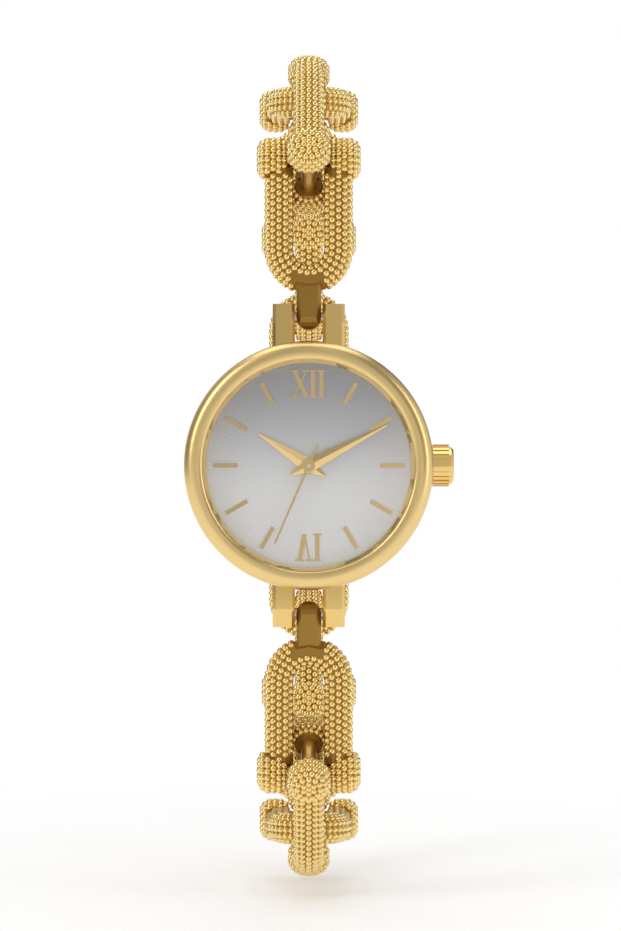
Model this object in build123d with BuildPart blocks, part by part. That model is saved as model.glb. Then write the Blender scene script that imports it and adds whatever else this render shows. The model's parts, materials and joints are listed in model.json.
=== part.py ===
"""Ladies' bracelet watch, closed, with a chain of horseshoe links.

The case back's outer face is at the origin. The dial faces -Y, 12 o'clock is +Z and the crown is +X.
The two bracelet halves mirror each other in Z and meet behind the wrist at a magnetic clasp.
"""

import os
from math import cos, radians, sin, tan

from build123d import *

os.makedirs("parts", exist_ok=True)

# Case
bezel_radius = 12.0
bezel_width = 1.75
case_step = 0.4
case_front_y = -4.9
case_rear_y = -0.8
bezel_height = 2.4
bezel_round = 1.1
bezel_steps = 2
bezel_rear_round = 0.4
ledge_height = 1.25
ledge_width = 0.35
crystal_thickness = 1.0
crystal_gap = 0.05
dial_cover = 0.15
dial_thickness = 0.4
fit_gap = 0.05
dial_seat = 1.0
movement_depth = 2.75
back_lip = 0.9
back_lip_width = 0.7
gasket_wire = 0.25
battery_radius = 3.4
battery_height = 2.0
battery_place = (-4.0, 2.8)
coil_size = (6.0, 2.0, 1.6)
coil_place = (-1.5, -5.6)

# Lugs and spring bars
lug_gap = 2.7
lug_width = 2.15
lug_end = 1.3
lug_break = 0.5
lug_front_y = -4.6
lug_rear_y = -1.3
lug_tip_front_y = -3.6
lug_root = 2.0
lug_taper = 0.3
lug_chamfer = 0.3
bar_clear = 2.4
bar_y = -2.5
bar_radius = 0.55
bar_bite = 1.4

# Dial furniture
marker_length = 2.35
marker_width = 0.4
marker_height = 0.12
marker_inset = 2.2
numeral_height = 2.5
numeral_inset = 2.35
numeral_stroke = 0.42
numeral_hair = 0.16
numeral_serif = 0.14
numeral_step = 0.82
x_spread = 1.15
v_spread = 0.95

# Hands
hand_thickness = 0.14
hand_step = 0.3
hour_length = 5.7
hour_tail = 1.9
hour_half = 0.75
minute_length = 8.6
minute_tail = 2.0
minute_half = 0.7
second_length = 8.2
second_tail = 2.2
second_half = 0.11
hub_radius = 0.5
tip_half = 0.09
hour_pipe = 0.75
minute_pipe = 0.5
second_pipe = 0.22
hour_angle = 57.6
minute_angle = -62.5
second_angle = 156.5

# Crown
crown_radius = 2.05
crown_length = 1.55
crown_cap_length = 0.45
crown_cap_radius = 1.8
crown_flutes = 24
flute_depth = 0.12
crown_gap = 0.05
crown_y = -3.0
stem_radius = 0.4
tube_radius = 0.85
tube_reach = 0.3
lever_size = (0.5, 0.7, 1.9)
lever_place_x = 6.9
crown_travel = 1.0

# Horseshoe link: two arms with a bend at one end and a rod between two bulbs at the other
arm_spacing = 5.6
arm_thick = 2.55
arm_run = 8.85
bulb_radius = 1.9
bulb_start = 2.1
bulb_thick = 2.7
bulb_round = 0.55
bulb_sides = 10
bend_steps = 8
rod_radius = 0.75
rod_gap = 0.1

# Route of the top half: each link's tilt from straight up, in degrees, and where its last rod is
link_tilts = (0, 32, 88, 108, 148, 165, 178)
last_rod_z = 5.6

# Tongue of the end link
tongue_width = 2.4
tongue_round = 1.25
tongue_spread = 0.2
tongue_chamfer = 0.45
tongue_overlap = 0.7

# Magnetic clasp
clasp_radius = 3.1
clasp_gap = 0.3
clasp_round = 0.4
neck_radius = 1.6
neck_width = 2.7
neck_gap = 0.25
magnet_radius = 1.9
magnet_cover = 0.5
magnet_share = 0.55

# Small pins and hidden discs are many-sided prisms, which keeps the facets down
pin_sides = 16
hidden_sides = 48
pin_fit = 0.02
overrun = 1.0

# Worked-out values
opening_radius = bezel_radius - bezel_width
case_radius = bezel_radius - case_step
dial_radius = opening_radius + dial_cover
movement_bore = dial_radius - dial_seat
marker_mid_radius = opening_radius - marker_inset
numeral_mid_radius = opening_radius - numeral_inset
crown_start = bezel_radius + crown_gap
bar_z = bezel_radius + bar_clear
lug_reach = bar_z + lug_end
lug_break_z = bar_z - lug_break
lug_root_z = case_radius - lug_root
bezel_front_y = case_front_y - bezel_height
ledge_y = case_front_y - ledge_height
arm_chamfer = arm_thick * (1 - tan(radians(22.5))) / 2
bend_pitch = arm_run + arm_spacing / 2
rod_pitch = arm_run - 2 * rod_radius - rod_gap


def save(part, name):
    """Labels a finished piece and writes it."""
    part.label = name
    export_step(part, f"parts/{name}.step")


def facing(y):
    """A plane parallel to the dial at depth y, drawn with X right and Z up."""
    return Plane(origin=(0, y, 0), x_dir=(1, 0, 0), z_dir=(0, -1, 0))


def pin(radius, length, mode=Mode.ADD):
    """A thin bar along X, centred on the current place. In a hole, the flats lie at the radius."""
    with BuildPart(mode=Mode.PRIVATE) as bar:
        with BuildSketch(Plane.YZ):
            RegularPolygon(radius, pin_sides, major_radius=mode != Mode.SUBTRACT)
        extrude(amount=length / 2, both=True)
    add(bar.part, mode=mode)


def disc(radius, front_y, rear_y, bore=0.0):
    """A round plate or ring about the watch's axis."""
    with BuildPart() as made:
        with BuildSketch(facing(rear_y)):
            Circle(radius)
            if bore:
                Circle(bore, mode=Mode.SUBTRACT)
        extrude(amount=rear_y - front_y)
    return made.part


# Case
def make_case():
    with BuildPart() as body:
        with BuildSketch(facing(case_rear_y)):
            Circle(case_radius)
        extrude(amount=case_rear_y - case_front_y)
        rear = body.faces().sort_by(Axis.Y)[-1]
        chamfer(rear.edges(), length=bezel_rear_round)
        for side in (1, -1):
            for hand in (1, -1):
                inner = hand * lug_gap / 2
                outer = hand * (lug_gap / 2 + lug_width)
                with BuildPart(mode=Mode.PRIVATE) as lug:
                    with BuildSketch(Plane.YZ.offset(inner)):
                        with BuildLine():
                            Polyline(
                                (lug_front_y, side * lug_root_z),
                                (lug_front_y, side * lug_break_z),
                                (lug_tip_front_y, side * lug_reach),
                                (lug_rear_y, side * lug_reach),
                                (lug_rear_y + lug_taper, side * lug_root_z),
                                close=True,
                            )
                        make_face()
                    extrude(amount=outer - inner)
                    long_edges = lug.faces().filter_by(Axis.X).edges()
                    front_edges = long_edges.filter_by(lambda edge: edge.center().Y < lug_tip_front_y)
                    chamfer(front_edges, length=lug_chamfer)
                add(lug.part)
        with BuildSketch(facing(case_rear_y + overrun)):
            Circle(movement_bore)
        extrude(amount=case_rear_y - case_front_y + 2 * overrun, mode=Mode.SUBTRACT)
        with BuildSketch(facing(case_front_y + dial_thickness)):
            Circle(dial_radius + fit_gap)
        extrude(amount=dial_thickness + overrun, mode=Mode.SUBTRACT)
        for side in (1, -1):
            with Locations((0, bar_y, side * bar_z)):
                pin(bar_radius + pin_fit, lug_gap + 2 * bar_bite, mode=Mode.SUBTRACT)
        with Locations((crown_start - overrun, crown_y, 0)):
            pin(tube_radius + pin_fit, 2 * (crown_start - movement_bore), mode=Mode.SUBTRACT)
    save(body.part, "case_body")


def make_bezel():
    centre_x, centre_y = bezel_radius - bezel_round, bezel_front_y + bezel_round
    turns = [radians(step * 90 / bezel_steps) for step in range(bezel_steps + 1)]
    round_corner = [(centre_x + bezel_round * cos(t), centre_y - bezel_round * sin(t)) for t in turns]
    with BuildPart() as ring:
        with BuildSketch(Plane.XY):
            with BuildLine():
                Polyline(
                    (opening_radius - ledge_width, case_front_y),
                    (bezel_radius - bezel_rear_round, case_front_y),
                    (bezel_radius, case_front_y - bezel_rear_round),
                    *round_corner,
                    (opening_radius, bezel_front_y),
                    (opening_radius, ledge_y),
                    (opening_radius - ledge_width, ledge_y),
                    close=True,
                )
            make_face()
        revolve(axis=Axis.Y)
    save(ring.part, "bezel_ring")
    crystal_rear = ledge_y
    crystal_radius = opening_radius - crystal_gap
    save(disc(crystal_radius, crystal_rear - crystal_thickness, crystal_rear), "crystal")


def make_dial():
    plate = disc(dial_radius, case_front_y, case_front_y + dial_thickness, hour_pipe + fit_gap)
    save(plate, "dial")


def roman(strokes, serifs):
    """Strokes and serifs of one numeral, drawn in the current sketch."""
    for start, end, wide in strokes:
        with BuildLine(mode=Mode.PRIVATE) as spine:
            Line(start, end)
        edge = spine.edges()[0]
        mid = edge.center()
        with Locations(Location((mid.X, mid.Y, 0), (0, 0, edge.tangent_angle_at(0)))):
            Rectangle(edge.length, wide)
    for centre, wide in serifs:
        with Locations(centre):
            Rectangle(wide, numeral_serif)


def make_markers():
    """Ten bars with XII at the top and VI at the bottom, upright on the case's centre."""
    half = numeral_height / 2
    top, low = numeral_mid_radius + half, numeral_mid_radius - half
    left = -numeral_step
    serif = numeral_stroke * 2
    with BuildPart() as made:
        with BuildSketch(facing(case_front_y)):
            for hour in (1, 2, 3, 4, 5, 7, 8, 9, 10, 11):
                with PolarLocations(marker_mid_radius, 1, start_angle=90 - 30 * hour):
                    Rectangle(marker_length, marker_width)
            x_left, x_right = left - x_spread / 2, left + x_spread / 2
            strokes = [((x_left, top), (x_right, low), numeral_stroke)]
            strokes += [((x_left, low), (x_right, top), numeral_hair)]
            uprights = (numeral_step / 2, numeral_step * 3 / 2)
            strokes += [((u, low), (u, top), numeral_stroke) for u in uprights]
            ends = [(x_left, serif), (x_right, serif)] + [(u, serif) for u in uprights]
            serifs = [((x, z), wide) for x, wide in ends for z in (top, low)]
            roman(strokes, serifs)
            foot, head = -top, -low
            v_mid = -numeral_step / 2
            v_left, v_right = v_mid - v_spread / 2, v_mid + v_spread / 2
            strokes = [((v_left, foot), (v_mid, head), numeral_stroke)]
            strokes += [((v_right, foot), (v_mid, head), numeral_hair)]
            strokes += [((numeral_step, foot), (numeral_step, head), numeral_stroke)]
            serifs = [((v_left, foot), serif), ((v_right, foot), serif)]
            serifs += [((numeral_step, z), serif) for z in (foot, head)]
            roman(strokes, serifs)
        extrude(amount=marker_height)
    save(made.part, "hour_markers")


# Hands
def make_hand(name, level, pointer, bore_and_pipe, turn):
    """A pointer with its own pipe through the dial."""
    length, tail, half = pointer
    bore, pipe = bore_and_pipe
    rear = case_front_y - marker_height - hand_step * level
    across = (cos(radians(turn)), 0, sin(radians(turn)))
    with BuildPart() as hand:
        with BuildSketch(Plane(origin=(0, rear, 0), x_dir=across, z_dir=(0, -1, 0))):
            with BuildLine():
                Polyline(
                    (-tip_half, length),
                    (-half, 0),
                    (-tip_half, -tail),
                    (tip_half, -tail),
                    (half, 0),
                    (tip_half, length),
                    close=True,
                )
            make_face()
            RegularPolygon(hub_radius + pipe / 2, pin_sides)
        extrude(amount=hand_thickness)
        with BuildSketch(facing(case_front_y + movement_depth / 2)):
            RegularPolygon(pipe, pin_sides)
        extrude(amount=case_front_y + movement_depth / 2 - rear)
        if bore:
            with BuildSketch(facing(case_front_y + movement_depth)):
                RegularPolygon(bore, pin_sides, major_radius=False)
            extrude(amount=movement_depth + hand_step * level + overrun, mode=Mode.SUBTRACT)
    save(hand.part, name)


# Movement
def make_movement():
    plate_front = case_front_y + dial_thickness
    plate_rear = plate_front + movement_depth
    with BuildPart() as plate:
        with BuildSketch(facing(plate_rear)):
            RegularPolygon(movement_bore - fit_gap, hidden_sides)
        extrude(amount=movement_depth)
        with BuildSketch(facing(plate_rear + overrun)):
            with Locations(battery_place):
                Circle(battery_radius + fit_gap)
        extrude(amount=overrun + battery_height, mode=Mode.SUBTRACT)
        with BuildSketch(facing(plate_rear + overrun)):
            Circle(hour_pipe + fit_gap)
        extrude(amount=movement_depth + 2 * overrun, mode=Mode.SUBTRACT)
        with BuildSketch(facing(plate_rear + overrun)):
            with Locations(coil_place):
                Rectangle(coil_size[0] + fit_gap, coil_size[1] + fit_gap)
        extrude(amount=overrun + coil_size[2], mode=Mode.SUBTRACT)
        slot_start = lever_place_x - lever_size[0]
        slot_end = movement_bore + crown_travel
        with Locations(((slot_start + slot_end) / 2, crown_y, 0)):
            Box(slot_end - slot_start, lever_size[1] * 2, lever_size[2] + 2 * fit_gap, mode=Mode.SUBTRACT)
        with Locations((slot_start, crown_y, 0)):
            pin(stem_radius + fit_gap, slot_start, mode=Mode.SUBTRACT)
    save(plate.part, "movement_plate")
    with BuildPart() as cell:
        with BuildSketch(facing(plate_rear)):
            with Locations(battery_place):
                Circle(battery_radius)
        extrude(amount=battery_height)
    save(cell.part, "battery")
    with BuildPart() as coil:
        with BuildSketch(facing(plate_rear)):
            with Locations(coil_place):
                Rectangle(coil_size[0], coil_size[1])
        extrude(amount=coil_size[2])
    save(coil.part, "drive_coil")


def make_case_back():
    lip_radius = movement_bore - fit_gap
    lip_front = case_rear_y - back_lip
    with BuildPart() as cover:
        with BuildSketch(facing(0)):
            Circle(case_radius - bezel_rear_round)
        extrude(amount=-case_rear_y)
        with BuildSketch(facing(case_rear_y)):
            RegularPolygon(lip_radius, hidden_sides)
        extrude(amount=back_lip - gasket_wire * 2)
    save(cover.part, "case_back")
    with BuildPart() as seal:
        with BuildSketch(facing(case_rear_y - back_lip + 2 * gasket_wire)):
            RegularPolygon(lip_radius, hidden_sides)
            RegularPolygon(lip_radius - back_lip_width, hidden_sides, mode=Mode.SUBTRACT)
        extrude(amount=2 * gasket_wire)
    save(seal.part, "back_gasket")


# Crown, stem and setting lever
def make_crown():
    with BuildPart() as crown:
        with Locations(Location((crown_start + crown_length / 2, crown_y, 0), (0, 90, 0))):
            Cylinder(crown_radius, crown_length)
        cap_x = crown_start + crown_length + crown_cap_length / 2
        with Locations(Location((cap_x, crown_y, 0), (0, 90, 0))):
            Cylinder(crown_cap_radius, crown_cap_length)
        chamfer(crown.faces().sort_by(Axis.X)[-1].edges(), length=crown_cap_length / 2)
        flute_x = crown_start + crown_length / 2
        ring = Plane(origin=(flute_x, crown_y, 0), x_dir=(0, 0, 1), z_dir=(1, 0, 0))
        with Locations(ring):
            with PolarLocations(crown_radius, crown_flutes):
                Box(2 * flute_depth, 2 * flute_depth, crown_length, mode=Mode.SUBTRACT)
        with Locations((crown_start, crown_y, 0)):
            pin(tube_radius + fit_gap, 2 * (tube_reach + crown_travel / 2), mode=Mode.SUBTRACT)
            pin(stem_radius + pin_fit, 2 * crown_length, mode=Mode.SUBTRACT)
    save(crown.part, "crown")
    stem_start = lever_place_x - lever_size[0]
    stem_end = crown_start + crown_length - fit_gap
    groove = stem_radius / 2
    with BuildPart() as stem:
        with Locations(((stem_start + stem_end) / 2, crown_y, 0)):
            pin(stem_radius, stem_end - stem_start)
        with Locations((lever_place_x, crown_y, 0)):
            Box(lever_size[0] + fit_gap, 3 * stem_radius, 3 * stem_radius, mode=Mode.SUBTRACT)
            pin(groove, lever_size[0] + 2 * fit_gap)
    save(stem.part, "stem")
    with BuildPart() as lever:
        with Locations((lever_place_x, crown_y, 0)):
            Box(*lever_size)
            pin(groove + fit_gap, lever_size[0] + overrun, mode=Mode.SUBTRACT)
    save(lever.part, "setting_lever")
    tube_start = movement_bore + fit_gap
    tube_end = crown_start + tube_reach
    with BuildPart() as tube:
        with Locations(((tube_start + tube_end) / 2, crown_y, 0)):
            pin(tube_radius, tube_end - tube_start)
            pin(stem_radius + fit_gap, tube_end - tube_start, mode=Mode.SUBTRACT)
    save(tube.part, "crown_tube")


def make_spring_bars():
    """The two bars that the end links hang on."""
    for side, name in ((1, "spring_bar_top"), (-1, "spring_bar_bottom")):
        with BuildPart() as bar:
            with Locations((0, bar_y, side * bar_z)):
                pin(bar_radius, lug_gap + 2 * bar_bite - 2 * fit_gap)
        save(bar.part, name)


# Bracelet
def chain_stations():
    """For each link of the top half: its rod's y and z, its tilt, and which way its bend lies."""
    lengths = [rod_pitch if number % 2 else bend_pitch for number in range(len(link_tilts))]
    rises = [length * cos(radians(tilt)) for length, tilt in zip(lengths, link_tilts)]
    y = bar_y
    z = last_rod_z - sum(rises)
    found = []
    for number, tilt in enumerate(link_tilts):
        out, up = sin(radians(tilt)), cos(radians(tilt))
        back = lengths[number] if number % 2 == 0 else rod_pitch - arm_run
        found.append((y + back * out, z + back * up, tilt, -1 if number % 2 == 0 else 1))
        print("link", number + 1, "turns about", round(y, 4), round(z, 4))
        y += lengths[number] * out
        z += lengths[number] * up
    return found


def link_plane(y, z, tilt, toward):
    """The plane in which a link is drawn: X along its rod, Z from the rod to the bend."""
    out, up = sin(radians(tilt)), cos(radians(tilt))
    across = (1, 0, 0) if toward < 0 else (0, up, -out)
    return Plane(origin=(0, y, z), x_dir=across, z_dir=(0, toward * out, toward * up))


def link_solid():
    """One plain link with its rod's centre at the origin and its bend along +Z."""
    half = arm_spacing / 2
    arm_start = rod_radius + rod_gap
    turns = [radians(180 * step / bend_steps) for step in range(bend_steps + 1)]
    bend = [(-half * cos(t), arm_run + half * sin(t)) for t in turns]
    with BuildPart() as link:
        with BuildLine(Plane.XZ):
            Polyline((-half, arm_start), *bend, (half, arm_start))
        with BuildSketch(Plane(origin=(-half, 0, arm_start), x_dir=(1, 0, 0), z_dir=(0, 0, 1))):
            section = Rectangle(arm_thick, arm_thick)
            chamfer(section.vertices(), length=arm_chamfer)
        sweep(transition=Transition.RIGHT)
        for side in (1, -1):
            with BuildPart(mode=Mode.PRIVATE) as bulb:
                with BuildSketch(Plane.YZ.offset(side * bulb_start)):
                    RegularPolygon(bulb_radius, bulb_sides)
                extrude(amount=side * bulb_thick)
                ends = bulb.faces().filter_by(Axis.X)
                chamfer(ends.edges(), length=bulb_round)
            add(bulb.part)
    return link.part


def end_link(plain, plane):
    """The link next to the case, with its polished tongue for the spring bar."""
    bend_z = plane.origin.Z - bend_pitch - arm_thick / 2
    narrow = tongue_round - tongue_spread
    with BuildPart() as tongue:
        with BuildSketch(Plane.YZ.offset(-tongue_width / 2)):
            with Locations((bar_y, bar_z)):
                RegularPolygon(tongue_round, pin_sides)
            with BuildLine():
                Polyline(
                    (bar_y - tongue_round, bar_z),
                    (bar_y - narrow, bend_z + tongue_overlap),
                    (bar_y + narrow, bend_z + tongue_overlap),
                    (bar_y + tongue_round, bar_z),
                    close=True,
                )
            make_face()
        extrude(amount=tongue_width)
        with BuildSketch(Plane.XZ.offset(-bar_y - 2 * tongue_round)):
            with Locations((0, bar_z)):
                RegularPolygon(tongue_width / 2, pin_sides)
            with Locations((0, (bar_z + bend_z + tongue_overlap) / 2)):
                Rectangle(tongue_width, bend_z + tongue_overlap - bar_z)
        extrude(amount=4 * tongue_round, mode=Mode.INTERSECT)
        with BuildSketch(Plane.XY.offset(bar_z - 2 * tongue_round)):
            with Locations((0, bar_y)):
                plan = Rectangle(tongue_width, 2 * tongue_round)
            chamfer(plan.vertices().sort_by(Axis.Y)[:2], length=tongue_chamfer)
        extrude(amount=bend_z - bar_z + 4 * tongue_round, mode=Mode.INTERSECT)
    with BuildPart() as made:
        add(plane.location * plain)
        add(tongue.part)
        with Locations((0, bar_y, bar_z)):
            pin(bar_radius + fit_gap, tongue_width + overrun, mode=Mode.SUBTRACT)
    return made.part


def clasp_half(y, z):
    """A cup gripped round the last rod, with a magnet that faces the other half's."""
    floor = clasp_gap / 2
    top = z - bulb_radius - neck_gap
    length = (top - floor) * magnet_share
    middle = floor + magnet_cover + length / 2
    with BuildPart() as cup:
        with BuildSketch(Plane(origin=(0, y, floor))):
            RegularPolygon(clasp_radius, 2 * pin_sides)
        extrude(amount=top - floor)
        chamfer(cup.faces().sort_by(Axis.Z)[-1].edges(), length=clasp_round)
        with Locations((0, y, (top - fit_gap + z) / 2)):
            Box(neck_width, 2 * neck_radius, z - top + fit_gap)
        with Locations((0, y, z)):
            pin(neck_radius, neck_width)
            pin(rod_radius + pin_fit, neck_width + overrun, mode=Mode.SUBTRACT)
        with BuildSketch(Plane(origin=(0, y, middle - length / 2 - pin_fit))):
            RegularPolygon(magnet_radius + pin_fit, pin_sides, major_radius=False)
        extrude(amount=length + 2 * pin_fit, mode=Mode.SUBTRACT)
    with BuildPart() as magnet:
        with BuildSketch(Plane(origin=(0, y, middle - length / 2))):
            RegularPolygon(magnet_radius, pin_sides)
        extrude(amount=length)
    return cup.part, magnet.part


def make_bracelet():
    plain = link_solid()
    with BuildPart() as rod:
        pin(rod_radius, 2 * bulb_start)
    stations = chain_stations()
    for number, (y, z, tilt, toward) in enumerate(stations, start=1):
        plane = link_plane(y, z, tilt, toward)
        link = end_link(plain, plane) if number == 1 else plane.location * plain
        placed_rod = plane.location * rod.part
        save(link, f"link_top_{number}")
        save(mirror(link, about=Plane.XY), f"link_bottom_{number}")
        save(placed_rod, f"rod_top_{number}")
        save(mirror(placed_rod, about=Plane.XY), f"rod_bottom_{number}")
    cup, magnet = clasp_half(stations[-1][0], stations[-1][1])
    save(cup, "clasp_cup_top")
    save(magnet, "clasp_magnet_top")
    save(mirror(cup, about=Plane.XY), "clasp_cup_bottom")
    save(mirror(magnet, about=Plane.XY), "clasp_magnet_bottom")


make_case()
make_bezel()
make_dial()
make_markers()
hour_bore = minute_pipe + fit_gap
minute_bore = second_pipe + fit_gap
hour_pointer = (hour_length, hour_tail, hour_half)
minute_pointer = (minute_length, minute_tail, minute_half)
second_pointer = (second_length, second_tail, second_half)
make_hand("hour_hand", 0, hour_pointer, (hour_bore, hour_pipe), hour_angle)
make_hand("minute_hand", 1, minute_pointer, (minute_bore, minute_pipe), minute_angle)
make_hand("seconds_hand", 2, second_pointer, (0, second_pipe), second_angle)
make_movement()
make_case_back()
make_crown()
make_spring_bars()
make_bracelet()
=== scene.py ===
"""Looks for the bracelet watch: grained links, faceted hands, sunray dial, gold and glass."""

import math

import bpy
import numpy as np
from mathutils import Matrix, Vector
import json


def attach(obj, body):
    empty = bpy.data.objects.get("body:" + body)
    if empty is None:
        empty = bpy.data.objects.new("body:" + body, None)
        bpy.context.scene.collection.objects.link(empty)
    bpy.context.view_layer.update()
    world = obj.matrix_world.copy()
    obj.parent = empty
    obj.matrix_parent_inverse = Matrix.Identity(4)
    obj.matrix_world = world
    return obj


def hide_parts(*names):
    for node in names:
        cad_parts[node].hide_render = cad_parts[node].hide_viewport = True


MM = 0.001

# Sizes of the CAD model that the looks follow, in millimetres
ARM_HALF = 2.8
BAR_HALF = 1.275
ARM_RUN = 8.85
BULB_START = 2.1
BULB_THICK = 2.7
BULB_RADIUS = 1.9
ROD_STEP = 1.6
BEND_PITCH = ARM_RUN + ARM_HALF
ROD_PITCH = ARM_RUN - ROD_STEP
ROD_RADIUS = 0.75
ROD_HALF = 2.1
CHAIN_Y = -2.5
LAST_ROD_Z = 5.6
TONGUE_HALF = 1.5
BEZEL_OUT = 12.0
BEZEL_IN = 10.25
BEZEL_FRONT = -7.3
BEZEL_REAR = -4.9
BEZEL_ROUND = 1.1
LEDGE_DEPTH = 1.15
LEDGE_WIDTH = 0.35
LEDGE_STEP = 0.01

# Each top link's tilt from straight up, in degrees
TILTS = (0, 32, 88, 108, 148, 165, 178)

# Hands: front face's y, length, tail, half width and turn of each pointer
HANDS = {
    "hour_hand": (-5.16, 5.7, 1.9, 0.75, 57.6),
    "minute_hand": (-5.46, 8.6, 2.0, 0.7, -62.5),
}

# Grains on the links, in millimetres. The lifts are the angles of a dome's rings, in degrees
GRAIN_PITCH = 0.66
GRAIN_RADIUS = 0.345
GRAIN_RISE = 0.31
GRAIN_SINK = 0.05
GRAIN_COLUMNS = 11
GRAIN_SEGMENTS = 8
GRAIN_LIFTS = (-12, 28, 60)
GRAIN_OVERLAP = 0.35
ROW_SHIFTS = (0.75, 0.25)
TONGUE_CLEAR = -0.2
BULB_EDGE_INSET = 0.26
BULB_EDGE_RADIUS = 1.62
BULB_ROWS = (0.78, 1.35, 1.92)
BULB_FACE_RADII = (1.12, 0.56, 0.0)
BULB_PITCH = GRAIN_PITCH * 0.93
UNDER_ARM_Z = 0.6

# Facets of the hands and the dot at their centre, in millimetres
RIDGE = 0.12
TIP_HALF = 0.09
FACET_LIFT = 0.002
FACET_WIDTH_SHARE = 0.98
RIDGE_END_SHARE = 0.8
RIDGE_TIP_SHARE = 0.99
RIDGE_TAIL_SHARE = 0.98
DOT_RADIUS = 0.22
DOT_TOP_Y = -5.80
DOT_EDGE_Y = -5.765
DOT_SEGMENTS = 16

# Rounded edges of the bezel: in from its outside and forward from its rear, out from its opening and back
REAR_EDGE = ((0.4, 0), (0.2, 0.05), (0.04, 0.25))
FRONT_LIP = ((0.3, 0.01), (0.1, 0.05), (0, 0.15))

# Segments round the smooth bezel and rods, and the steps in degrees along the bezel's rounded corner
BEZEL_SEGMENTS = 144
ROD_SEGMENTS = 40
CORNER_STEP = 7.5
CORNER_POINTS = 13

# How far the dial's painted shade reaches from its centre, in metres
DIAL_SHADE_REACH = 0.0102

# Bands of grey that the metal sees: each one's place on the way from -X to +X, and its grey
STUDIO_BANDS = ((0.35, 0.7), (0.46, 0.3), (0.505, 0.62), (0.56, 0.9), (0.7, 0.12))

# Floor and camera, in metres
FLOOR_Z = -0.0425
FLOOR_HALF = 0.6
CAMERA_PLACE = (0.00017, -0.2873, 0)


# Materials
def shader(name, color, metallic, roughness, **sockets):
    """A plain surface whose values sit on its own sockets."""
    mat = bpy.data.materials.new(name)
    mat.use_nodes = True
    bsdf = mat.node_tree.nodes["Principled BSDF"]
    bsdf.inputs["Base Color"].default_value = (*color, 1)
    bsdf.inputs["Metallic"].default_value = metallic
    bsdf.inputs["Roughness"].default_value = roughness
    for socket, value in sockets.items():
        bsdf.inputs[socket.replace("_", " ")].default_value = value
    return mat


def wear(mat, scale, low, high, bump=0.0):
    """Fine variation of roughness, and a slight unevenness of the surface."""
    tree = mat.node_tree
    bsdf = tree.nodes["Principled BSDF"]
    coords = tree.nodes.new("ShaderNodeTexCoord")
    noise = tree.nodes.new("ShaderNodeTexNoise")
    noise.inputs["Scale"].default_value = scale
    noise.inputs["Detail"].default_value = 3
    span = tree.nodes.new("ShaderNodeMapRange")
    span.inputs["To Min"].default_value = low
    span.inputs["To Max"].default_value = high
    tree.links.new(coords.outputs["Object"], noise.inputs["Vector"])
    tree.links.new(noise.outputs["Fac"], span.inputs["Value"])
    tree.links.new(span.outputs["Result"], bsdf.inputs["Roughness"])
    if bump:
        height = tree.nodes.new("ShaderNodeBump")
        height.inputs["Strength"].default_value = bump
        height.inputs["Distance"].default_value = 0.00002
        tree.links.new(noise.outputs["Fac"], height.inputs["Height"])
        tree.links.new(height.outputs["Normal"], bsdf.inputs["Normal"])
    return mat


def sunray(mat):
    """Fine rays that fan out from the dial's centre, on a painted shade that darkens the dial towards 12
    o'clock.
    """
    tree = mat.node_tree
    bsdf = tree.nodes["Principled BSDF"]
    coords = tree.nodes.new("ShaderNodeTexCoord")
    turn = tree.nodes.new("ShaderNodeMapping")
    turn.inputs["Rotation"].default_value = (math.radians(-90), 0, 0)
    fan = tree.nodes.new("ShaderNodeTexGradient")
    fan.gradient_type = "RADIAL"
    rays = tree.nodes.new("ShaderNodeTexNoise")
    rays.noise_dimensions = "1D"
    rays.inputs["Scale"].default_value = 420
    rays.inputs["Detail"].default_value = 4
    tone = tree.nodes.new("ShaderNodeValToRGB")
    tone.color_ramp.elements[0].position = 0.35
    tone.color_ramp.elements[0].color = (0.76, 0.76, 0.76, 1)
    tone.color_ramp.elements[1].position = 0.66
    tone.color_ramp.elements[1].color = (0.86, 0.86, 0.86, 1)
    tree.links.new(coords.outputs["Object"], turn.inputs["Vector"])
    tree.links.new(turn.outputs["Vector"], fan.inputs["Vector"])
    tree.links.new(fan.outputs["Fac"], rays.inputs["W"])
    tree.links.new(rays.outputs["Fac"], tone.inputs["Fac"])
    # Painted shade: the base colour is multiplied darker with height, so the dial is painted darker towards
    # 12 o'clock.
    split = tree.nodes.new("ShaderNodeSeparateXYZ")
    span = tree.nodes.new("ShaderNodeMapRange")
    span.inputs["From Min"].default_value = -DIAL_SHADE_REACH
    span.inputs["From Max"].default_value = DIAL_SHADE_REACH
    painted_dial_shade = tree.nodes.new("ShaderNodeValToRGB")
    painted_dial_shade.color_ramp.interpolation = "EASE"
    painted_dial_shade.color_ramp.elements[0].position = 0.3
    painted_dial_shade.color_ramp.elements[0].color = (1.0, 1.0, 1.0, 1)
    painted_dial_shade.color_ramp.elements[1].position = 0.95
    painted_dial_shade.color_ramp.elements[1].color = (0.42, 0.42, 0.45, 1)
    both = tree.nodes.new("ShaderNodeMix")
    both.data_type = "RGBA"
    both.blend_type = "MULTIPLY"
    both.inputs["Factor"].default_value = 1.0
    tree.links.new(coords.outputs["Object"], split.inputs["Vector"])
    tree.links.new(split.outputs["Z"], span.inputs["Value"])
    tree.links.new(span.outputs["Result"], painted_dial_shade.inputs["Fac"])
    tree.links.new(tone.outputs["Color"], both.inputs[6])
    tree.links.new(painted_dial_shade.outputs["Color"], both.inputs[7])
    tree.links.new(both.outputs[2], bsdf.inputs["Base Color"])
    return mat


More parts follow.
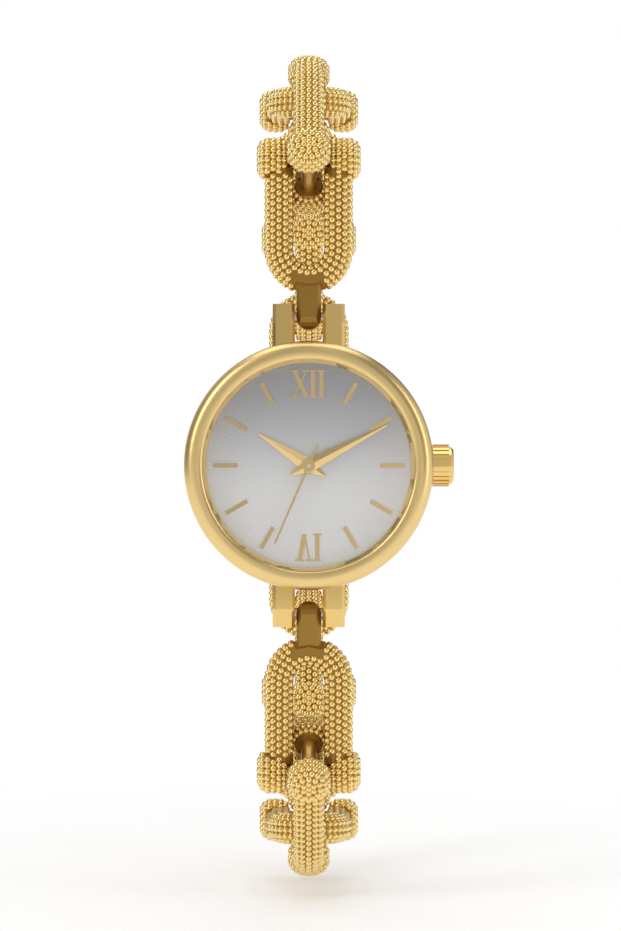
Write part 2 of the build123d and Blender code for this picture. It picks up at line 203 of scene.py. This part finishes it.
GOLD = (0.86, 0.60, 0.22)
polished = wear(shader("polished_gold", GOLD, 1.0, 0.12), 900, 0.07, 0.12)
bezel_gold = wear(shader("soft_satin_gold", (0.84, 0.62, 0.27), 1.0, 0.3), 2500, 0.26, 0.34, 0.2)
grained = wear(shader("textured_gold", (0.90, 0.68, 0.29), 1.0, 0.12), 900, 0.08, 0.15)
# Painted shade: the link base between the grains is painted dark gold for the shade in the gaps between
# them.
shaded_gaps_gold = wear(shader("painted_shade_gold_gaps", (0.38, 0.22, 0.05), 1.0, 0.45), 900, 0.4, 0.5)
satin = wear(shader("satin_gold", (0.80, 0.57, 0.22), 1.0, 0.35), 2500, 0.3, 0.4, 0.3)
dial_face = sunray(shader("silver_dial", (0.8, 0.8, 0.8), 0.55, 0.34))
glass = shader("crystal_glass", (1, 1, 1), 0.0, 0.03, IOR=1.45, Alpha=0.05)
steel = wear(shader("steel", (0.6, 0.6, 0.6), 1.0, 0.3), 2500, 0.25, 0.35)
plate = wear(shader("movement_brass", (0.7, 0.62, 0.4), 1.0, 0.3), 1200, 0.25, 0.4)
rubber = wear(shader("black_rubber", (0.03, 0.03, 0.03), 0.0, 0.7), 1200, 0.6, 0.8)
copper = wear(shader("copper_wire", (0.7, 0.35, 0.18), 1.0, 0.3), 1200, 0.25, 0.35)
nickel = wear(shader("magnet_nickel", (0.75, 0.75, 0.74), 1.0, 0.15), 1200, 0.12, 0.2)
BY_SLOT = {
    "polished_gold": polished,
    # The link base under the grains gets the gold painted dark as shade between the grains.
    "textured_gold": shaded_gaps_gold,
    "satin_gold": satin,
    "silver_dial": dial_face,
    "crystal_glass": glass,
    "steel": steel,
    "movement_brass": plate,
    "black_rubber": rubber,
    "copper_wire": copper,
    "magnet_nickel": nickel,
}


# The frame
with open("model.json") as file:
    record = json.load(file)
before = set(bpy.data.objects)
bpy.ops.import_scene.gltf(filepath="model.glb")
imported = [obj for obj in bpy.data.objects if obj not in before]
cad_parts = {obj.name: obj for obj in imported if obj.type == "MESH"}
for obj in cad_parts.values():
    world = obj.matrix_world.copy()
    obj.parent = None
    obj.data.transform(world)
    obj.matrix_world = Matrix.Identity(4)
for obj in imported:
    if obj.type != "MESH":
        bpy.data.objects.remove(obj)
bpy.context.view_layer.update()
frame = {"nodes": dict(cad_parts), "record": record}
slot_of = {entry["node"]: entry["material_slot"] for entry in frame["record"]["subparts"]}
for name, node in frame["nodes"].items():
    node.data.materials.clear()
    node.data.materials.append(BY_SLOT[slot_of[name]])
frame["nodes"]["bezel_ring"].data.materials.clear()
frame["nodes"]["bezel_ring"].data.materials.append(bezel_gold)


def mesh_object(name, verts, faces, mat, smooth=True):
    """A mesh in the row frame from points in metres."""
    mesh = bpy.data.meshes.new(name)
    mesh.from_pydata([tuple(v) for v in verts], [], faces)
    mesh.update()
    mesh.polygons.foreach_set("use_smooth", [smooth] * len(mesh.polygons))
    obj = bpy.data.objects.new(name, mesh)
    bpy.context.scene.collection.objects.link(obj)
    mesh.materials.append(mat)
    return obj


# Grains
def grain_shape():
    """One low dome: its points about the origin with +Z outward, and its faces."""
    segments = GRAIN_SEGMENTS
    points, faces = [], []
    for lift in GRAIN_LIFTS:
        for k in range(segments):
            turn = 2 * math.pi * k / segments
            flat = GRAIN_RADIUS * math.cos(math.radians(lift))
            height = GRAIN_RISE * math.sin(math.radians(lift)) - GRAIN_SINK
            points.append((flat * math.cos(turn), flat * math.sin(turn), height))
    points.append((0, 0, GRAIN_RISE - GRAIN_SINK))
    rings = len(GRAIN_LIFTS)
    for ring in range(rings - 1):
        for k in range(segments):
            after = (k + 1) % segments
            low, high = ring * segments, (ring + 1) * segments
            faces.append((low + k, low + after, high + after, high + k))
    last = (rings - 1) * segments
    for k in range(segments):
        faces.append((last + k, last + (k + 1) % segments, rings * segments))
    return np.array(points), faces


def section_places():
    """Places round the bar's eight-sided section: outward, sideways and normal. The inner side has none."""
    a = BAR_HALF
    c = BAR_HALF * math.tan(math.radians(22.5))
    outline = [(-a, c), (-c, a), (c, a), (a, c), (a, -c), (c, -a), (-c, -a), (-a, -c)]
    lengths = [math.dist(p, q) for p, q in zip(outline, outline[1:])]
    total = sum(lengths)
    places = []
    for column in range(GRAIN_COLUMNS):
        along = total * (column + 0.5) / GRAIN_COLUMNS
        for p, q, length in zip(outline, outline[1:], lengths):
            if along <= length:
                share = along / length
                spot = (p[0] + (q[0] - p[0]) * share, p[1] + (q[1] - p[1]) * share)
                size = math.hypot(*spot)
                places.append((spot[0], spot[1], (spot[0] / size, spot[1] / size)))
                break
            along -= length
    return places


def bar_grains(with_tongue):
    """Grains along the two arms and the bend, in the link's own frame, in millimetres."""
    found = []
    low = BULB_RADIUS - GRAIN_OVERLAP
    run = ARM_RUN - low
    for index, (out, side, normal) in enumerate(section_places()):
        radius = ARM_HALF + out
        total = 2 * run + math.pi * radius
        count = round(total / GRAIN_PITCH)
        for k in range(count):
            along = total * (k + ROW_SHIFTS[index % 2]) / count
            if along < run:
                spot = (-radius, side, low + along)
                aim = (-normal[0], normal[1], 0)
            elif along > total - run:
                spot = (radius, side, low + total - along)
                aim = (normal[0], normal[1], 0)
            else:
                turn = (along - run) / radius
                spot = (-radius * math.cos(turn), side, ARM_RUN + radius * math.sin(turn))
                aim = (-normal[0] * math.cos(turn), normal[1], normal[0] * math.sin(turn))
            near_tongue = abs(spot[0]) < TONGUE_HALF and spot[2] > ARM_RUN and out > TONGUE_CLEAR
            if not (with_tongue and near_tongue):
                found.append((spot, aim))
    return found


def bulb_grains():
    """Grains in rings round both bulbs, leaving out where the arms join."""
    end = BULB_START + BULB_THICK
    slope = math.sqrt(0.5)
    rings = [(BULB_START + BULB_EDGE_INSET, BULB_EDGE_RADIUS, -slope, slope)]
    rings += [(BULB_START + row, BULB_RADIUS, 0, 1) for row in BULB_ROWS]
    rings += [(end - BULB_EDGE_INSET, BULB_EDGE_RADIUS, slope, slope)]
    rings += [(end, radius, 1, 0) for radius in BULB_FACE_RADII]
    found = []
    for index, (x, radius, aim_x, aim_r) in enumerate(rings):
        count = max(1, round(2 * math.pi * radius / BULB_PITCH))
        for k in range(count):
            turn = 2 * math.pi * (k + 0.5 * (index % 2)) / count
            y, z = radius * math.sin(turn), radius * math.cos(turn)
            under_arm = z > UNDER_ARM_Z and abs(y) < BAR_HALF and x < ARM_HALF + BAR_HALF
            if under_arm:
                continue
            for hand in (1, -1):
                aim = (hand * aim_x, aim_r * math.sin(turn), aim_r * math.cos(turn))
                found.append(((hand * x, y, z), aim))
    return found


def grain_domes(grains):
    """The points and faces of all of a link's grains, in the link's own frame and in millimetres."""
    points, faces = grain_shape()
    all_points, all_faces = [], []
    for number, (spot, aim) in enumerate(grains):
        normal = np.array(aim, float)
        normal /= np.linalg.norm(normal)
        helper = np.array((0.0, 1.0, 0.0)) if abs(normal[1]) < 0.8 else np.array((1.0, 0.0, 0.0))
        first = np.cross(helper, normal)
        first /= np.linalg.norm(first)
        second = np.cross(normal, first)
        basis = np.column_stack((first, second, normal))
        all_points.append(points @ basis.T + np.array(spot))
        base = number * len(points)
        all_faces.extend(tuple(base + v for v in face) for face in faces)
    return np.concatenate(all_points), all_faces


def link_places():
    """Each top link's rod centre (y, z), tilt, and whether its bend lies back along the chain."""
    lengths = [ROD_PITCH if k % 2 else BEND_PITCH for k in range(len(TILTS))]
    rises = [length * math.cos(math.radians(tilt)) for length, tilt in zip(lengths, TILTS)]
    y, z = CHAIN_Y, LAST_ROD_Z - sum(rises)
    places = []
    for k, tilt in enumerate(TILTS):
        out, up = math.sin(math.radians(tilt)), math.cos(math.radians(tilt))
        back = lengths[k] if k % 2 == 0 else -ROD_STEP
        places.append((y + back * out, z + back * up, out, up, -1 if k % 2 == 0 else 1))
        y += lengths[k] * out
        z += lengths[k] * up
    return places


plain_domes = grain_domes(bar_grains(False) + bulb_grains())
end_domes = grain_domes(bar_grains(True) + bulb_grains())
link_frames = {}
for half, flip in (("top", 1), ("bottom", -1)):
    for number, (y, z, out, up, toward) in enumerate(link_places(), start=1):
        bend = np.array((0.0, toward * out, toward * up * flip))
        across = np.array((1.0, 0.0, 0.0) if toward < 0 else (0.0, up * flip, -out))
        turned = np.column_stack((across, np.cross(bend, across), bend))
        centre = np.array((0.0, y, flip * z))
        link_frames[half, number] = (turned, centre)
        points, faces = end_domes if number == 1 else plain_domes
        placed = (points @ turned.T + centre) * MM
        grains = mesh_object(f"grains_{half}_{number}", placed.tolist(), faces, grained)
        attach(grains, f"{half}_{number}")


# Smooth bezel and rods in place of the CAD's many-sided ones
def ring_rows(profile, segments, name, mat):
    """A surface of revolution about Y from (radius, y) pairs in millimetres, closed on itself."""
    points, faces = [], []
    for radius, y in profile:
        for k in range(segments):
            turn = 2 * math.pi * k / segments
            points.append((radius * math.sin(turn) * MM, y * MM, radius * math.cos(turn) * MM))
    rows = len(profile)
    for row in range(rows):
        after = (row + 1) % rows
        for k in range(segments):
            here, there, turned = row * segments, after * segments, (k + 1) % segments
            faces.append((here + k, here + turned, there + turned, there + k))
    return mesh_object(name, points, faces, mat)


def bezel_profile():
    """The bezel's section as (radius, y) pairs, from the rear round the outside to the crystal's ledge."""
    centre_r, centre_y = BEZEL_OUT - BEZEL_ROUND, BEZEL_FRONT + BEZEL_ROUND
    ledge_r, ledge_y = BEZEL_IN - LEDGE_WIDTH, BEZEL_FRONT + LEDGE_DEPTH
    profile = [(ledge_r, BEZEL_REAR)]
    profile += [(BEZEL_OUT - inward, BEZEL_REAR - forward) for inward, forward in REAR_EDGE]
    for step in range(CORNER_POINTS):
        turn = math.radians(step * CORNER_STEP)
        profile.append((centre_r + BEZEL_ROUND * math.cos(turn), centre_y - BEZEL_ROUND * math.sin(turn)))
    profile += [(BEZEL_IN + outward, BEZEL_FRONT + back) for outward, back in FRONT_LIP]
    profile += [(BEZEL_IN, ledge_y), (ledge_r, ledge_y), (ledge_r, ledge_y + LEDGE_STEP)]
    return profile


bezel = ring_rows(bezel_profile(), BEZEL_SEGMENTS, "bezel_smooth", bezel_gold)
sharp = bezel.modifiers.new("edges", "EDGE_SPLIT")
sharp.split_angle = math.radians(40)
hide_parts("bezel_ring")
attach(bezel, "case")

rod_points = []
for x in (-ROD_HALF, ROD_HALF):
    for k in range(ROD_SEGMENTS):
        turn = 2 * math.pi * k / ROD_SEGMENTS
        rod_points.append((x, ROD_RADIUS * math.cos(turn), ROD_RADIUS * math.sin(turn)))
rod_faces = []
for k in range(ROD_SEGMENTS):
    turned = (k + 1) % ROD_SEGMENTS
    rod_faces.append((k, turned, ROD_SEGMENTS + turned, ROD_SEGMENTS + k))
for (half, number), (turned, centre) in link_frames.items():
    placed = (np.array(rod_points) @ turned.T + centre) * MM
    rod = mesh_object(f"rod_smooth_{half}_{number}", placed.tolist(), rod_faces, satin)
    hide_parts(f"rod_{half}_{number}")
    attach(rod, f"{half}_{number}")


# Faceted hands
for name, (front, length, tail, half, turn) in HANDS.items():
    lift = front - RIDGE
    ridge_end = lift + RIDGE * RIDGE_END_SHARE
    left = [(-TIP_HALF, length), (-half, 0), (-TIP_HALF, -tail)]
    outline = left + [(-x, z) for x, z in reversed(left)]
    flat = [(x * FACET_WIDTH_SHARE, front - FACET_LIFT, z) for x, z in outline]
    ridge = [
        (0, ridge_end, length * RIDGE_TIP_SHARE),
        (0, lift, 0),
        (0, ridge_end, -tail * RIDGE_TAIL_SHARE),
    ]
    faces = [(0, 1, 7, 6), (1, 2, 8, 7), (2, 3, 8), (3, 4, 7, 8), (4, 5, 6, 7), (5, 0, 6)]
    c, s = math.cos(math.radians(turn)), math.sin(math.radians(turn))
    points = [((x * c - z * s) * MM, y * MM, (x * s + z * c) * MM) for x, y, z in flat + ridge]
    facets = mesh_object(f"{name}_facets", points, faces, polished, smooth=False)
    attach(facets, name)

dot_points = [(0.0, DOT_TOP_Y * MM, 0.0)]
for k in range(DOT_SEGMENTS):
    turn = 2 * math.pi * k / DOT_SEGMENTS
    dot_points.append((DOT_RADIUS * MM * math.cos(turn), DOT_EDGE_Y * MM, DOT_RADIUS * MM * math.sin(turn)))
dot_faces = [(0, 1 + k, 1 + (k + 1) % DOT_SEGMENTS) for k in range(DOT_SEGMENTS)]
dot = mesh_object("centre_dot", dot_points, dot_faces, plate)
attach(dot, "seconds_hand")


# Floor, light and camera
def floor_material():
    """White that glows evenly, apart from a patch under the watch that takes its shadow."""
    mat = shader("floor_white", (0.9, 0.9, 0.9), 0.0, 0.5, Emission_Strength=0.3)
    tree = mat.node_tree
    bsdf = tree.nodes["Principled BSDF"]
    bsdf.inputs["Emission Color"].default_value = (1, 1, 1, 1)
    glow = tree.nodes.new("ShaderNodeEmission")
    near = tree.nodes.new("ShaderNodeTexGradient")
    near.gradient_type = "SPHERICAL"
    spread = tree.nodes.new("ShaderNodeMapping")
    spread.inputs["Location"].default_value = (0, -0.13, 0)
    spread.inputs["Scale"].default_value = (14, 10, 14)
    coords = tree.nodes.new("ShaderNodeTexCoord")
    soften = tree.nodes.new("ShaderNodeMapRange")
    soften.interpolation_type = "SMOOTHSTEP"
    soften.inputs["From Max"].default_value = 0.6
    blend = tree.nodes.new("ShaderNodeMixShader")
    tree.links.new(coords.outputs["Object"], spread.inputs["Vector"])
    tree.links.new(spread.outputs["Vector"], near.inputs["Vector"])
    tree.links.new(near.outputs["Fac"], soften.inputs["Value"])
    tree.links.new(soften.outputs["Result"], blend.inputs["Fac"])
    tree.links.new(glow.outputs["Emission"], blend.inputs[1])
    tree.links.new(bsdf.outputs["BSDF"], blend.inputs[2])
    tree.links.new(blend.outputs["Shader"], tree.nodes["Material Output"].inputs["Surface"])
    return mat


wide = FLOOR_HALF
corners = [(-wide, -wide, 0), (wide, -wide, 0), (wide, wide, 0), (-wide, wide, 0)]
floor = mesh_object("floor", corners, [(0, 1, 2, 3)], floor_material(), smooth=False)
floor.location = (0, 0, FLOOR_Z)


def studio_world():
    """White for the camera. The metal sees bands of grey that run across in X."""
    world = bpy.data.worlds.new("studio")
    world.use_nodes = True
    tree = world.node_tree
    tree.nodes.clear()
    coords = tree.nodes.new("ShaderNodeTexCoord")
    parts = tree.nodes.new("ShaderNodeSeparateXYZ")
    ramp = tree.nodes.new("ShaderNodeValToRGB")
    ramp.color_ramp.elements[0].position = 0.0
    ramp.color_ramp.elements[0].color = (0.28, 0.26, 0.24, 1)
    ramp.color_ramp.elements[1].position = 1.0
    ramp.color_ramp.elements[1].color = (0.9, 0.9, 0.9, 1)
    for position, grey in STUDIO_BANDS:
        stop = ramp.color_ramp.elements.new(position)
        stop.color = (grey, grey, grey, 1)
    span = tree.nodes.new("ShaderNodeMapRange")
    span.inputs["From Min"].default_value = -1
    span.inputs["From Max"].default_value = 1
    studio = tree.nodes.new("ShaderNodeBackground")
    studio.inputs["Strength"].default_value = 0.9
    white = tree.nodes.new("ShaderNodeBackground")
    white.inputs["Color"].default_value = (1, 1, 1, 1)
    white.inputs["Strength"].default_value = 1.0
    rays = tree.nodes.new("ShaderNodeLightPath")
    pick = tree.nodes.new("ShaderNodeMixShader")
    output = tree.nodes.new("ShaderNodeOutputWorld")
    tree.links.new(coords.outputs["Generated"], parts.inputs["Vector"])
    tree.links.new(parts.outputs["X"], span.inputs["Value"])
    tree.links.new(span.outputs["Result"], ramp.inputs["Fac"])
    tree.links.new(ramp.outputs["Color"], studio.inputs["Color"])
    tree.links.new(rays.outputs["Is Camera Ray"], pick.inputs["Fac"])
    tree.links.new(studio.outputs["Background"], pick.inputs[1])
    tree.links.new(white.outputs["Background"], pick.inputs[2])
    tree.links.new(pick.outputs["Shader"], output.inputs["Surface"])
    return world


bpy.context.scene.world = studio_world()


def softbox(name, place, size, power):
    """A soft rectangular light aimed at the watch."""
    data = bpy.data.lights.new(name, "AREA")
    data.shape = "RECTANGLE"
    data.size, data.size_y = size
    data.energy = power
    lamp = bpy.data.objects.new(name, data)
    lamp.location = place
    lamp.rotation_euler = (-Vector(place)).to_track_quat("-Z", "Y").to_euler()
    bpy.context.scene.collection.objects.link(lamp)


softbox("key_left", (-0.32, -0.22, 0.20), (0.16, 0.34), 0.42)
softbox("fill_right", (0.34, -0.20, 0.10), (0.10, 0.34), 0.20)
softbox("top", (0.0, 0.05, 0.5), (0.5, 0.5), 0.9)
softbox("front_low", (0.0, -0.34, -0.12), (0.10, 0.05), 0.03)

camera_data = bpy.data.cameras.new("camera")
camera_data.lens = 113
camera_data.sensor_fit = "VERTICAL"
camera_data.sensor_height = 36
camera_data.clip_start = 0.01
camera = bpy.data.objects.new("camera", camera_data)
camera.location = CAMERA_PLACE
camera.rotation_euler = (math.radians(90), 0, 0)
bpy.context.scene.collection.objects.link(camera)
bpy.context.scene.camera = camera
bpy.context.scene.view_settings.view_transform = "Standard"
bpy.context.scene.view_settings.look = "None"
